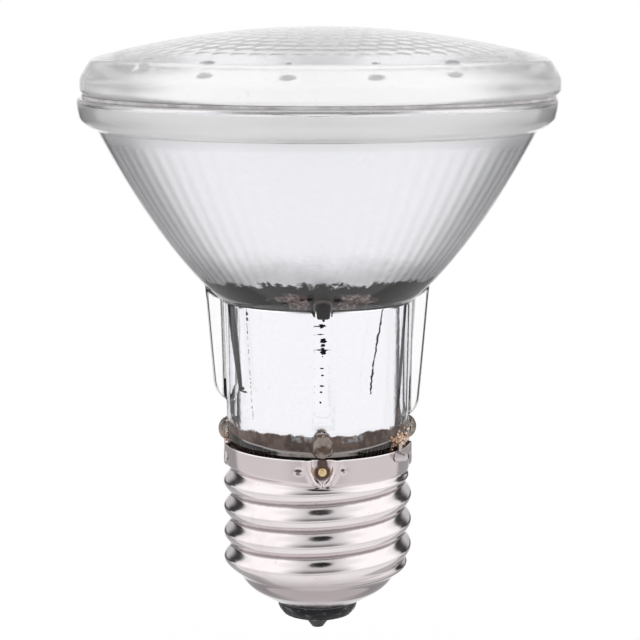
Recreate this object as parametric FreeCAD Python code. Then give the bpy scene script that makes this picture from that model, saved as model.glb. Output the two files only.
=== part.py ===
import FreeCAD, Part
import math
import os

# A reflector lamp with a screw cap, standing upright on its cap with the lens on top.
# Lengths are in millimetres. Heights are measured up from the tip of the centre contact,
# radii from the lamp's axis, which is Z. Angles are in degrees, anticlockwise seen from the lens.

# Whole lamp
overall_length = 84.0
lug_count = 4
lug_turn = 3.0

# Screw cap. Its rolled thread is drawn as turned ridges at the thread's pitch.
cap_length = 27.0
thread_major_diameter = 26.3
thread_depth = 1.05
thread_pitch = 25.4 / 7.0
thread_crest_drop = 6.6  # from the rim down to the uppermost ridge
lowest_crest_gap = 1.0  # the least height of a ridge above the cone
cap_wall = 0.3
rim_setback = 0.1  # radial setbacks are measured inwards from the thread's crests
collar_foot_setback = 0.4
cone_top_setback = 2.15
cone_corner_setback = 3.25
cap_opening_setback = 6.45
collar_height = 4.0
cone_top_height = 8.4
cone_corner_height = 6.6
cap_opening_height = 4.3

# Crimp pockets pressed into the collar, each with a pin
pocket_width = 3.2
pocket_depth = 0.55
pocket_reach = 3.7
pin_diameter = 1.3
pin_hole_clearance = 0.05
pin_height_below_rim = 1.7
pin_length = 1.6
pin_head_rise = 0.2

# Black glass insulator, centre contact and its solder
insulator_foot_height = 2.2
insulator_foot_setback = 1.5  # inwards from the cap's opening
insulator_bore = 2.0
contact_setback = 0.9  # inwards from the insulator's foot
contact_seat_clearance = 0.1
contact_seat_depth = 0.4
contact_wall = 0.35
contact_crown_setback = 1.2
contact_crown_height = 1.6
contact_hole_diameter = 1.8
solder_diameter = 4.0
solder_tip_diameter = 1.6

# Reflector glass
neck_foot_depth = 3.7  # below the cap's rim
skirt_clearance = 0.4
neck_base_setback = 0.55  # inwards from the cap's rim
neck_spread = 1.2  # how much wider the neck is at its top
neck_base_rise = 0.5  # how far above the cap's rim the neck reaches its visible width
skirt_wall = 1.65
bowl_vertex_height = 41.2
bowl_wall = 2.4
throat_rise = 8.1  # above the bowl's vertex
bowl_run_count = 4  # straight runs that draw the bowl's curve
flute_count = 40
flute_depth = 0.25
flute_section_count = 3
flange_diameter = 65.0
flange_height = 4.2
flange_overhang = 2.61

# Ribs and feet of the neck
rib_width = 2.6
rib_root_setback = 0.65  # inwards from the skirt
rib_top_reach = 2.4  # outwards from the top of the neck
rib_bottom_reach = 1.7  # outwards from the base of the neck
rib_bottom_rise = 5.8  # above the cap's rim
long_rib_bottom_rise = 3.2
rib_nose_height = 1.3
long_rib_index = 0
foot_diameter = 3.4
foot_inner_setback = 0.25  # inwards from the skirt
foot_outer_reach = 0.85  # outwards from the cap's rim
foot_rim_gap = 0.05
wire_notch_width = 0.7
wire_notch_depth = 0.85
wire_notch_rise = 1.5  # above the cap's rim

# Lens glass
seal_thickness = 0.35
seal_setback = 0.5
lens_height = 9.05
lens_setback = 0.05  # inwards from the flange
lens_shift = 0.4  # the lens sits this far off the axis, towards +X
lens_side_length = 2.25
lens_shoulder_setback = 1.45
lens_shoulder_drop = 4.4  # drops are measured down from the crown
lens_dome_setback = 2.25
lens_dome_rise = 3.95
lens_wall = 3.15
lens_ceiling_drop = 6.4
dot_count = 16
dot_turn = -98.5
dot_setback = 2.5  # inwards from the wall of the lens
dot_width = 2.4
dot_side_count = 8
dot_rise = 0.5

# Halogen burner
burner_diameter = 12.0
burner_wall = 1.0
burner_ceiling_gap = 12.8  # between the burner's tip and the lens
burner_tip_diameter = 1.6
burner_foot_rise = 1.0
burner_dome_run_count = 2
pinch_width = 10.4
pinch_thickness = 3.2
pinch_foot_rise = 0.7  # above the neck's foot
pinch_share = 0.478  # of the burner's length
foil_width = 2.4
foil_thickness = 0.1
foil_foot_rise = 3.5
foil_share = 0.41  # of the pinch's length
lead_spacing = 6.0
burner_pin_diameter = 0.9
burner_pin_reach = 5.6
pin_weld_share = 0.375  # of the foil's length
filament_lead_diameter = 0.6
filament_diameter = 1.6
filament_share = 0.6  # of the length of the burner's hollow
filament_jog_share = 0.12

# Cement: the plug that closes the neck round the pinch, and the joint between skirt and collar
plug_height = 4.7
cap_cement_reach = 2.6
cap_cement_gap = 0.02
cap_cement_depth = 0.4

# Wiring in the cap. Thin wires are drawn with a few sides.
wire_side_count = 8
wire_diameter = 0.4
side_lead_azimuth = -33.0
side_lead_run_drop = 1.2  # below the foot of the burner's pins
side_lead_rise_setback = 0.55
side_lead_over_rim = 0.9
side_lead_lap = 0.8
side_solder_diameter = 1.9
side_solder_length = 1.6
centre_lead_run_drop = 1.8
fuse_diameter = 2.6
fuse_drop = 1.2
fuse_length = 4.2
sleeve_outer_diameter = 1.6
sleeve_inner_diameter = 0.7
sleeve_top_clearance = 0.1
sleeve_foot_rise = 0.8  # above the seat of the contact
contact_lead_foot_height = 0.9

# Places and sizes that follow from the ones above
rim_diameter = thread_major_diameter - 2.0 * rim_setback
collar_foot_diameter = thread_major_diameter - 2.0 * collar_foot_setback
cone_top_diameter = thread_major_diameter - 2.0 * cone_top_setback
cone_corner_diameter = thread_major_diameter - 2.0 * cone_corner_setback
cap_opening_diameter = thread_major_diameter - 2.0 * cap_opening_setback
insulator_foot_diameter = cap_opening_diameter - 2.0 * insulator_foot_setback
contact_diameter = insulator_foot_diameter - 2.0 * contact_setback
contact_crown_diameter = contact_diameter - 2.0 * contact_crown_setback

skirt_diameter = collar_foot_diameter - 2.0 * (cap_wall + skirt_clearance)
bore_diameter = skirt_diameter - 2.0 * skirt_wall
neck_base_diameter = rim_diameter - 2.0 * neck_base_setback
neck_top_diameter = neck_base_diameter + neck_spread
rib_root_diameter = skirt_diameter - 2.0 * rib_root_setback
rib_top_diameter = neck_top_diameter + 2.0 * rib_top_reach
rib_bottom_diameter = neck_base_diameter + 2.0 * rib_bottom_reach
foot_inner_diameter = skirt_diameter - 2.0 * foot_inner_setback
foot_outer_diameter = rim_diameter + 2.0 * foot_outer_reach
wire_notch_diameter = skirt_diameter - 2.0 * wire_notch_depth

lens_foot_height = overall_length - lens_height
joint_height = lens_foot_height - seal_thickness
flange_underside_height = joint_height - flange_height
lens_diameter = flange_diameter - 2.0 * lens_setback
lens_shoulder_diameter = lens_diameter - 2.0 * lens_shoulder_setback
lens_dome_diameter = lens_diameter - 2.0 * lens_dome_setback
lens_recess_diameter = lens_diameter - 2.0 * lens_wall
dot_circle_diameter = lens_recess_diameter - 2.0 * dot_setback
lens_side_height = lens_foot_height + lens_side_length
lens_shoulder_height = overall_length - lens_shoulder_drop
lens_dome_edge_height = overall_length - lens_dome_rise
lens_ceiling_height = overall_length - lens_ceiling_drop

neck_foot_height = cap_length - neck_foot_depth
rib_bottom_height = cap_length + rib_bottom_rise
long_rib_bottom_height = cap_length + long_rib_bottom_rise
throat_height = bowl_vertex_height + throat_rise
bowl_edge_radius = flange_diameter / 2.0 - flange_overhang
bowl_focal_length = bowl_edge_radius ** 2 / (4.0 * (flange_underside_height - bowl_vertex_height))

burner_radius = burner_diameter / 2.0
pinch_foot_height = neck_foot_height + pinch_foot_rise
burner_tip_height = lens_ceiling_height - burner_ceiling_gap
pinch_length = (burner_tip_height - pinch_foot_height) * pinch_share
pinch_top_height = pinch_foot_height + pinch_length
burner_shoulder_height = pinch_top_height + burner_foot_rise
burner_dome_height = burner_tip_height - burner_radius - burner_tip_diameter / 2.0
burner_hollow_length = burner_dome_height - burner_shoulder_height
foil_foot_height = pinch_foot_height + foil_foot_rise
foil_length = pinch_length * foil_share
burner_pin_foot_height = pinch_foot_height - burner_pin_reach
filament_length = burner_hollow_length * filament_share
filament_centre_height = (burner_shoulder_height + burner_dome_height) / 2.0

side_lead_run_height = burner_pin_foot_height - side_lead_run_drop
side_lead_rise_diameter = skirt_diameter - 2.0 * side_lead_rise_setback
centre_lead_run_height = burner_pin_foot_height - centre_lead_run_drop
fuse_top_height = centre_lead_run_height - fuse_drop
fuse_foot_height = fuse_top_height - fuse_length
plug_top_height = neck_foot_height + plug_height
cap_cement_foot_height = cap_length - cap_cement_reach


# Geometry helpers

def vector(x, y, z):
    return FreeCAD.Vector(x, y, z)


def at_azimuth(radius, azimuth, height):
    """The point at a radius, an azimuth and a height."""
    angle = math.radians(azimuth)
    return vector(radius * math.cos(angle), radius * math.sin(angle), height)


def meridian(radius, height):
    """A point of an outline that is turned about the axis."""
    return vector(radius, 0.0, height)


def polyline_edges(corners):
    """Straight runs through the corners."""
    return [Part.LineSegment(a, b).toShape() for a, b in zip(corners, corners[1:])]


def turned(points):
    """The solid that a polygon of (radius, height) points sweeps about the axis."""
    corners = [meridian(radius, height) for radius, height in points]
    face = Part.Face(Part.Wire(polyline_edges(corners + corners[:1])))
    return face.revolve(vector(0, 0, 0), vector(0, 0, 1), 360)


def disc(diameter, bottom, top):
    """A round bar on the axis between two heights."""
    return Part.makeCylinder(diameter / 2.0, top - bottom, vector(0, 0, bottom))


def ring(outer_diameter, inner_diameter, bottom, top):
    """A plain ring on the axis between two heights."""
    return disc(outer_diameter, bottom, top).cut(disc(inner_diameter, bottom, top))


def block(width, depth, bottom, top):
    """A box centred on the axis between two heights."""
    return Part.makeBox(width, depth, top - bottom, vector(-width / 2.0, -depth / 2.0, bottom))


def many_sided(diameter, centre, direction):
    """The outline of a thin wire across a direction."""
    side = direction.cross(vector(0, 1, 0) if abs(direction.z) > abs(direction.y) else vector(0, 0, 1))
    side = side.normalize() * (diameter / 2.0)
    corners = []
    for index in range(wire_side_count):
        turn = FreeCAD.Rotation(direction, index * 360.0 / wire_side_count)
        corners.append(centre + turn.multVec(side))
    return Part.Wire(polyline_edges(corners + corners[:1]))


def thin_wire(corners, diameter):
    """A thin wire along a path with sharp corners."""
    path = Part.Wire(polyline_edges(corners))
    section = many_sided(diameter, corners[0], corners[1] - corners[0])
    return path.makePipeShell([section], True, False, 1)


def turned_copies(shape, count, first_azimuth):
    """Copies of a shape, built at azimuth 0, spaced evenly about the axis."""
    copies = []
    for index in range(count):
        copy = shape.copy()
        copy.rotate(vector(0, 0, 0), vector(0, 0, 1), first_azimuth + index * 360.0 / count)
        copies.append(copy)
    return copies


def at_lugs(shape):
    """Copies of a shape, built at azimuth 0, at each of the lugs."""
    return turned_copies(shape, lug_count, lug_turn)


# Screw cap shell: a thin drawn cap

collar_foot_height = cap_length - collar_height
thread_crest_radius = thread_major_diameter / 2.0
thread_root_radius = thread_crest_radius - thread_depth
collar_inner_foot_radius = collar_foot_diameter / 2.0 - cap_wall
collar_inner_rim_radius = rim_diameter / 2.0 - cap_wall


def cone_slope_length():
    """Length of the lower cone's outline."""
    return math.hypot(
        (cone_corner_diameter - cap_opening_diameter) / 2.0,
        cone_corner_height - cap_opening_height,
    )


def cap_inside():
    """The inside outline of the cap, from the opening up to the rim."""
    run = (cone_corner_diameter - cap_opening_diameter) / 2.0
    rise = cone_corner_height - cap_opening_height
    sideways = cap_wall * cone_slope_length() / rise
    upright = cone_top_height - cone_corner_height
    corner_drop = cap_wall * upright / (upright + run)
    return [
        (cap_opening_diameter / 2.0 - sideways, cap_opening_height),
        (cone_corner_diameter / 2.0 - cap_wall - corner_drop, cone_corner_height + corner_drop),
        (thread_root_radius - cap_wall, cone_top_height + thread_pitch / 2.0),
        (thread_root_radius - cap_wall, collar_foot_height - cap_wall),
        (collar_inner_foot_radius, collar_foot_height),
        (collar_inner_rim_radius, cap_length),
    ]


def cap_outside():
    """The outside outline of the cap, from the rim down to the opening."""
    points = [
        (rim_diameter / 2.0, cap_length),
        (collar_foot_diameter / 2.0, collar_foot_height),
    ]
    crest = cap_length - thread_crest_drop
    while crest > cone_top_height + lowest_crest_gap:
        points.append((thread_root_radius, crest + thread_pitch / 2.0))
        points.append((thread_crest_radius, crest))
        crest -= thread_pitch
    points += [
        (cone_top_diameter / 2.0, cone_top_height),
        (cone_corner_diameter / 2.0, cone_corner_height),
        (cap_opening_diameter / 2.0, cap_opening_height),
    ]
    return points


def pocket_plug(width, floor_radius, reach, outer_radius):
    """A U-shaped plug at azimuth 0 from the rim down, between two radii."""
    half = width / 2.0
    foot = cap_length - reach + half
    edges = polyline_edges([
        vector(floor_radius, -half, foot),
        vector(floor_radius, -half, cap_length),
        vector(floor_radius, half, cap_length),
        vector(floor_radius, half, foot),
    ])
    edges.append(Part.Arc(
        vector(floor_radius, half, foot),
        vector(floor_radius, 0, foot - half),
        vector(floor_radius, -half, foot),
    ).toShape())
    return Part.Face(Part.Wire(edges)).extrude(vector(outer_radius - floor_radius, 0, 0))


pocket_floor_radius = rim_diameter / 2.0 - pocket_depth


def pocket_backs():
    """The metal that stands inwards behind each pocket."""
    back = pocket_plug(
        pocket_width + 2.0 * cap_wall,
        pocket_floor_radius - cap_wall,
        pocket_reach + cap_wall,
        collar_foot_diameter / 2.0 - cap_wall / 2.0,
    )
    return at_lugs(back)


def pocket_hollows():
    """The room in front of each pocket's floor."""
    hollow = pocket_plug(pocket_width, pocket_floor_radius, pocket_reach, rim_diameter)
    return at_lugs(hollow)


def lug_pin(diameter):
    """A radial pin at azimuth 0, through the floor of the pocket."""
    height = cap_length - pin_height_below_rim
    start = pocket_floor_radius + pin_head_rise - pin_length
    return Part.makeCylinder(
        diameter / 2.0, pin_length, vector(start, 0, height), vector(1, 0, 0)
    )


def lug_pin_holes():
    return at_lugs(lug_pin(pin_diameter + 2.0 * pin_hole_clearance))


def screw_shell():
    shell = turned(cap_inside() + cap_outside())
    shell = shell.fuse(pocket_backs())
    shell = shell.cut(pocket_hollows())
    return shell.cut(lug_pin_holes())


def stake_pins():
    return Part.makeCompound(at_lugs(lug_pin(pin_diameter)))


# Insulator, centre contact and solder tip

def insulator():
    opening, corner = cap_inside()[:2]
    seat_radius = contact_diameter / 2.0 + contact_seat_clearance / 2.0
    seat_height = insulator_foot_height + contact_seat_depth
    return turned([
        (insulator_bore / 2.0, corner[1]),
        corner,
        opening,
        (insulator_foot_diameter / 2.0, insulator_foot_height),
        (seat_radius, insulator_foot_height),
        (seat_radius, seat_height),
        (insulator_bore / 2.0, seat_height),
    ])


def centre_contact():
    top = insulator_foot_height + contact_seat_depth
    rim = contact_diameter / 2.0
    crown = contact_crown_diameter / 2.0
    hole = contact_hole_diameter / 2.0
    return turned([
        (rim, top),
        (rim, top - contact_wall),
        (crown + contact_wall, top - contact_wall),
        (crown, contact_crown_height),
        (hole, contact_crown_height),
        (hole, contact_crown_height + contact_wall),
        (crown - contact_wall, contact_crown_height + contact_wall),
        (crown, top),
    ])


def contact_solder():
    """A tip under the contact, and the plug that fills its hole round the wire."""
    hole = contact_hole_diameter / 2.0
    tip = turned([
        (0.0, 0.0),
        (solder_tip_diameter / 2.0, 0.0),
        (solder_diameter / 2.0, contact_crown_height),
        (hole, contact_crown_height),
        (hole, contact_crown_height + contact_wall),
        (0.0, contact_crown_height + contact_wall),
    ])
    return tip.cut(contact_lead())


# Reflector: flange, fluted bowl, neck, ribs and feet pressed from one piece of glass

def bowl_radius(height):
    """Outer radius of the bowl, a paraboloid."""
    return math.sqrt(4.0 * bowl_focal_length * (height - bowl_vertex_height))


def bowl_height(radius):
    """Height at which the bowl has an outer radius."""
    return bowl_vertex_height + radius ** 2 / (4.0 * bowl_focal_length)


def mirror_radius(height):
    """Inner radius of the bowl, one wall inside the outer one."""
    slope = 2.0 * bowl_focal_length / bowl_radius(height)
    return bowl_radius(height) - bowl_wall * math.hypot(1.0, slope)


def reflector_body():
    """The outside of flange, bowl and neck, solid, without ribs and feet."""
    low = neck_top_diameter / 2.0
    high = bowl_radius(flange_underside_height)
    points = [
        (0.0, neck_foot_height),
        (skirt_diameter / 2.0, neck_foot_height),
        (skirt_diameter / 2.0, cap_length),
        (neck_base_diameter / 2.0, cap_length + neck_base_rise),
    ]
    for index in range(bowl_run_count + 1):
        radius = low + (high - low) * index / bowl_run_count
        points.append((radius, bowl_height(radius)))
    points += [
        (flange_diameter / 2.0, flange_underside_height),
        (flange_diameter / 2.0, joint_height),
        (0.0, joint_height),
    ]
    return turned(points)


def rib(bottom_height):
    """A rib at azimuth 0: an upright fin with a round outer edge."""
    half = rib_width / 2.0
    top_height = bowl_height(rib_top_diameter / 2.0)
    slope = (rib_top_diameter - rib_bottom_diameter) / 2.0 / (top_height - rib_bottom_height)

    def edge_point(height):
        tip = rib_top_diameter / 2.0 - slope * (top_height - height)
        return vector(tip - half, 0, height)

    nose = edge_point(bottom_height + rib_nose_height)
    top = edge_point(top_height)
    root = rib_root_diameter / 2.0
    corners = [vector(root, 0, bottom_height), nose, top, vector(root, 0, top_height)]
    fin = Part.Face(Part.Wire(polyline_edges(corners + corners[:1])))
    fin.translate(vector(0, -half, 0))
    fin = fin.extrude(vector(0, rib_width, 0))
    edge = Part.makeCylinder(half, (top - nose).Length, nose, top - nose)
    return fin.fuse(edge)


def ribs():
    """The ribs; one of them reaches further down, almost to its foot."""
    turned_ribs = []
    for index in range(lug_count):
        bottom = long_rib_bottom_height if index == long_rib_index else rib_bottom_height
        one = rib(bottom)
        one.rotate(vector(0, 0, 0), vector(0, 0, 1), lug_turn + index * 360.0 / lug_count)
        turned_ribs.append(one)
    return turned_ribs


def feet():
    """Round glass feet that rest just above the cap's rim."""
    foot = Part.makeCylinder(
        foot_diameter / 2.0,
        (foot_outer_diameter - foot_inner_diameter) / 2.0,
        vector(foot_inner_diameter / 2.0, 0, cap_length + foot_rim_gap + foot_diameter / 2.0),
        vector(1, 0, 0),
    )
    return at_lugs(foot)


def flute_outline(height):
    """A closed outline of peaks and valleys round the bowl's inside."""
    radius = mirror_radius(height)
    points = []
    for index in range(2 * flute_count):
        depth = flute_depth * (index % 2)
        points.append(at_azimuth(radius + depth, index * 180.0 / flute_count, height))
    return Part.Wire(polyline_edges(points + points[:1]))


def bowl_cavity():
    """The fluted inside of the bowl, from the throat up to the joint."""
    last = flute_section_count - 1
    low = mirror_radius(throat_height)
    high = mirror_radius(joint_height)
    sections = []
    for index in range(flute_section_count):
        radius = low + (high - low) * index / last
        share = (radius ** 2 - low ** 2) / (high ** 2 - low ** 2)
        sections.append(flute_outline(throat_height + (joint_height - throat_height) * share))
    return Part.makeLoft(sections, True, True)


def neck_bore():
    return disc(bore_diameter, neck_foot_height, throat_height)


def wire_notch():
    """The slot in the skirt that the side lead comes up through."""
    notch = Part.makeBox(
        rim_diameter,
        wire_notch_width,
        neck_foot_depth + wire_notch_rise,
        vector(wire_notch_diameter / 2.0, -wire_notch_width / 2.0, neck_foot_height),
    )
    notch.rotate(vector(0, 0, 0), vector(0, 0, 1), side_lead_azimuth)
    return notch


def reflector():
    glass = reflector_body().fuse(ribs() + feet())
    glass = glass.cut([bowl_cavity(), neck_bore(), wire_notch()])
    return glass.cut(lug_pin_holes())


# Lens and its seal

def rim_seal():
    outer = flange_diameter - 2.0 * seal_setback
    seal = ring(outer, lens_recess_diameter + 2.0 * seal_setback, joint_height, lens_foot_height)
    seal.translate(vector(lens_shift / 2.0, 0, 0))
    return seal


def dome_ball():
    """The ball whose cap is the lens's outer dome. Its poles lie on the X axis."""
    edge_radius = lens_dome_diameter / 2.0
    rise = overall_length - lens_dome_edge_height
    radius = (edge_radius ** 2 + rise ** 2) / (2.0 * rise)
    centre = vector(0, 0, overall_length - radius)
    ball = Part.makeSphere(radius, centre, vector(1, 0, 0))
    ball.rotate(centre, vector(1, 0, 0), 180)
    return ball


def lens_dot():
    """A low boss at azimuth 0 on the ceiling of the lens."""
    centre = vector(dot_circle_diameter / 2.0, 0, lens_ceiling_height - dot_rise)
    corners = []
    for index in range(dot_side_count):
        turn = (index + 0.5) * 360.0 / dot_side_count
        corners.append(centre + at_azimuth(dot_width / 2.0, turn, 0.0))
    outline = Part.Wire(polyline_edges(corners + corners[:1]))
    return Part.Face(outline).extrude(vector(0, 0, 2.0 * dot_rise))


def lens():
    side = lens_diameter / 2.0
    above = overall_length + dot_rise
    glass = turned([
        (lens_recess_diameter / 2.0, lens_foot_height),
        (lens_recess_diameter / 2.0, lens_ceiling_height),
        (0.0, lens_ceiling_height),
        (0.0, above),
        (lens_dome_diameter / 2.0, above),
        (lens_dome_diameter / 2.0, lens_dome_edge_height),
        (lens_shoulder_diameter / 2.0, lens_shoulder_height),
        (side, lens_side_height),
        (side, lens_foot_height),
    ])
    glass = glass.common(dome_ball())
    glass = glass.fuse(turned_copies(lens_dot(), dot_count, dot_turn))
    glass.translate(vector(lens_shift, 0, 0))
    return glass


# Halogen burner

lead_offset = lead_spacing / 2.0
lead_depth = foil_thickness / 2.0 + burner_pin_diameter / 2.0


def burner_outside():
    """The round-ended bulb of the burner, its dome drawn in straight runs up to a tip."""
    points = [
        (0.0, burner_shoulder_height - burner_radius),
        (burner_radius, burner_shoulder_height),
    ]
    for index in range(burner_dome_run_count):
        angle = math.radians(90.0 * index / burner_dome_run_count)
        points.append((
            burner_radius * math.cos(angle),
            burner_dome_height + burner_radius * math.sin(angle),
        ))
    tip = burner_tip_diameter / 2.0
    points.append((tip, burner_dome_height + burner_radius))
    points.append((0.0, burner_tip_height))
    return turned(points)


def burner_cavity():
    return disc(burner_diameter - 2.0 * burner_wall, burner_shoulder_height, burner_dome_height)


def foil(side):
    return Part.makeBox(
        foil_width,
        foil_thickness,
        foil_length,
        vector(side * lead_offset - foil_width / 2.0, -foil_thickness / 2.0, foil_foot_height),
    )


def burner_pin(side):
    foot = vector(side * lead_offset, lead_depth, burner_pin_foot_height)
    weld = foil_length * pin_weld_share
    top = vector(side * lead_offset, lead_depth, foil_foot_height + weld)
    return thin_wire([foot, top], burner_pin_diameter)


filament_lead_depth = foil_thickness / 2.0 + filament_lead_diameter / 2.0
filament_lead_foot = foil_foot_height + foil_length * (1.0 - pin_weld_share)
filament_lead_jog = burner_hollow_length * filament_jog_share
filament_foot = filament_centre_height - filament_length / 2.0
filament_top = filament_centre_height + filament_length / 2.0


def filament_lead(side, jog_height, end_height):
    """From a foil up, across to the axis, and on to an end of the filament."""
    return thin_wire(
        [
            vector(side * lead_offset, filament_lead_depth, filament_lead_foot),
            vector(side * lead_offset, filament_lead_depth, jog_height),
            vector(0, 0, jog_height),
            vector(0, 0, end_height),
        ],
        filament_lead_diameter,
    )


def lower_filament_lead():
    return filament_lead(-1, filament_foot - filament_lead_jog, filament_foot)


def upper_filament_lead():
    return filament_lead(1, filament_top + filament_lead_jog, filament_top)


def filament():
    return disc(filament_diameter, filament_foot, filament_top)


def burner_envelope():
    pinch = block(pinch_width, pinch_thickness, pinch_foot_height, pinch_top_height)
    glass = burner_outside().fuse(pinch).cut(burner_cavity())
    sealed_in = [foil(-1), foil(1), burner_pin(-1), burner_pin(1)]
    sealed_in += [lower_filament_lead(), upper_filament_lead()]
    return glass.cut(sealed_in)


# Cement

def neck_cement():
    """The plug that fills the foot of the neck and holds the pinch of the burner."""
    plug = disc(bore_diameter, neck_foot_height, plug_top_height)
    pinch = block(pinch_width, pinch_thickness, pinch_foot_height, plug_top_height)
    return plug.cut([pinch, burner_pin(-1), burner_pin(1)])


def collar_inner_radius(height):
    """Inner radius of the cap's collar, which widens towards the rim."""
    share = (height - collar_foot_height) / collar_height
    return collar_inner_foot_radius + (collar_inner_rim_radius - collar_inner_foot_radius) * share


def cap_cement():
    """The joint between the glass skirt and the collar."""
    top = cap_length - cap_cement_depth
    filling = turned([
        (skirt_diameter / 2.0, cap_cement_foot_height),
        (collar_inner_radius(cap_cement_foot_height) - cap_cement_gap, cap_cement_foot_height),
        (collar_inner_radius(top) - cap_cement_gap, top),
        (skirt_diameter / 2.0, top),
    ])
    return filling.cut(pocket_backs() + at_lugs(lug_pin(pin_diameter)) + [wire_notch()])


# Wiring in the cap

def side_lead():
    """From the right pin out to the skirt, up its notch and over the rim."""
    rise = side_lead_rise_diameter / 2.0
    over = cap_length + side_lead_over_rim
    outside = rim_diameter / 2.0 + wire_diameter / 2.0 + cap_cement_gap
    return thin_wire(
        [
            vector(lead_offset, lead_depth, burner_pin_foot_height),
            vector(lead_offset, lead_depth, side_lead_run_height),
            at_azimuth(rise, side_lead_azimuth, side_lead_run_height),
            at_azimuth(rise, side_lead_azimuth, over),
            at_azimuth(outside, side_lead_azimuth, over),
            at_azimuth(outside, side_lead_azimuth, cap_length - side_lead_lap),
        ],
        wire_diameter,
    )


def side_solder():
    """A bead that joins the side lead to the outside of the rim."""
    outward = at_azimuth(1.0, side_lead_azimuth, 0.0)
    start = at_azimuth(rim_diameter / 2.0 - cap_wall, side_lead_azimuth, cap_length - side_lead_lap)
    bead = Part.makeCone(
        side_solder_diameter / 2.0, side_solder_diameter / 4.0, side_solder_length, start, outward
    )
    inside = disc(rim_diameter, neck_foot_height, cap_length + side_solder_diameter)
    return bead.cut([inside, side_lead()])


def centre_lead():
    """From the left pin in to the axis and down to the fuse."""
    return thin_wire(
        [
            vector(-lead_offset, lead_depth, burner_pin_foot_height),
            vector(-lead_offset, lead_depth, centre_lead_run_height),
            vector(0, 0, centre_lead_run_height),
            vector(0, 0, fuse_top_height),
        ],
        wire_diameter,
    )


def fuse():
    return disc(fuse_diameter, fuse_foot_height, fuse_top_height)


def contact_lead():
    foot = vector(0, 0, contact_lead_foot_height)
    return thin_wire([foot, vector(0, 0, fuse_foot_height)], wire_diameter)


def lead_sleeve():
    foot = insulator_foot_height + contact_seat_depth + sleeve_foot_rise
    top = fuse_foot_height - sleeve_top_clearance
    return ring(sleeve_outer_diameter, sleeve_inner_diameter, foot, top)


# Write every piece to its own file

pieces = {
    "lens": lens,
    "rim_seal": rim_seal,
    "reflector": reflector,
    "burner_envelope": burner_envelope,
    "filament": filament,
    "lower_filament_lead": lower_filament_lead,
    "upper_filament_lead": upper_filament_lead,
    "foil_left": lambda: foil(-1),
    "foil_right": lambda: foil(1),
    "burner_pin_left": lambda: burner_pin(-1),
    "burner_pin_right": lambda: burner_pin(1),
    "neck_cement": neck_cement,
    "screw_shell": screw_shell,
    "stake_pins": stake_pins,
    "cap_cement": cap_cement,
    "side_lead": side_lead,
    "side_solder": side_solder,
    "centre_lead": centre_lead,
    "fuse": fuse,
    "contact_lead": contact_lead,
    "lead_sleeve": lead_sleeve,
    "insulator": insulator,
    "centre_contact": centre_contact,
    "contact_solder": contact_solder,
}

os.makedirs("parts", exist_ok=True)
for name, build in pieces.items():
    build().exportStep(os.path.join("parts", name + ".step"))
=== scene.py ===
"""The looks of a reflector lamp, standing upright on its screw cap with the lens on top."""

import math

import bmesh
import bpy
import numpy as np
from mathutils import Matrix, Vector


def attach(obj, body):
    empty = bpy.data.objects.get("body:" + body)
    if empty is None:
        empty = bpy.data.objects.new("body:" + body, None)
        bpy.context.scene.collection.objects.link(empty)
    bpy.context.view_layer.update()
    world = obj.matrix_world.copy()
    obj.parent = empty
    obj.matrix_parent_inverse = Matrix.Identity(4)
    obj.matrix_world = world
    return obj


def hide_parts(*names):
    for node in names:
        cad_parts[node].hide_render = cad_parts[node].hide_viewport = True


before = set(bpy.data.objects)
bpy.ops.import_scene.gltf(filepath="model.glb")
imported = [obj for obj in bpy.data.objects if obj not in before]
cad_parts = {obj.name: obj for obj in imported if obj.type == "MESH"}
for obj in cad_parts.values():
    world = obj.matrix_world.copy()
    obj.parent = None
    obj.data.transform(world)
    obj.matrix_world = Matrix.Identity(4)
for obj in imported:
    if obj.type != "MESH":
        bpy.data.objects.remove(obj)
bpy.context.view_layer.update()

MM = 0.001  # sizes below are in millimetres unless they say otherwise
TAU = 2.0 * math.pi

# Cap
PITCH = 25.4 / 7.0
CREST_FRONT = 22.2  # height of a thread crest at the front
THREAD_CREST = 13.12
THREAD_ROOT = 12.12
THREAD_TOP = 22.9
THREAD_FOOT = 9.3
CAP_RIM_HEIGHT = 27.0
CAP_RIM = 13.03
COLLAR_FOOT = 12.74
COLLAR_BASE = 23.0  # its height
CAP_WALL = 0.3
CAP_BARREL = 12.6
CAP_OPENING = (6.1, 4.28)
LUG_AZIMUTHS = [3.0 + 90.0 * k for k in range(4)]
FRONT_LUG = LUG_AZIMUTHS[3] - 360.0
PIN_HEIGHT = 25.3
POCKET_HALF = 1.6
POCKET_DEPTH = 0.5
POCKET_FOOT = 23.35
POCKET_SHAPE = (  # heights and half widths
    [23.4, 24.2, 25.3, 26.5, 27.0], [0.35, 1.05, 1.55, 1.75, 1.8],
)
POCKET_LIP = (0.30, 0.36)  # height and width
POCKET_DENTS = [(-3.2, 25.4, 0.20), (2.8, 25.5, 0.14)]  # sideways, height and depth

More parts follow.
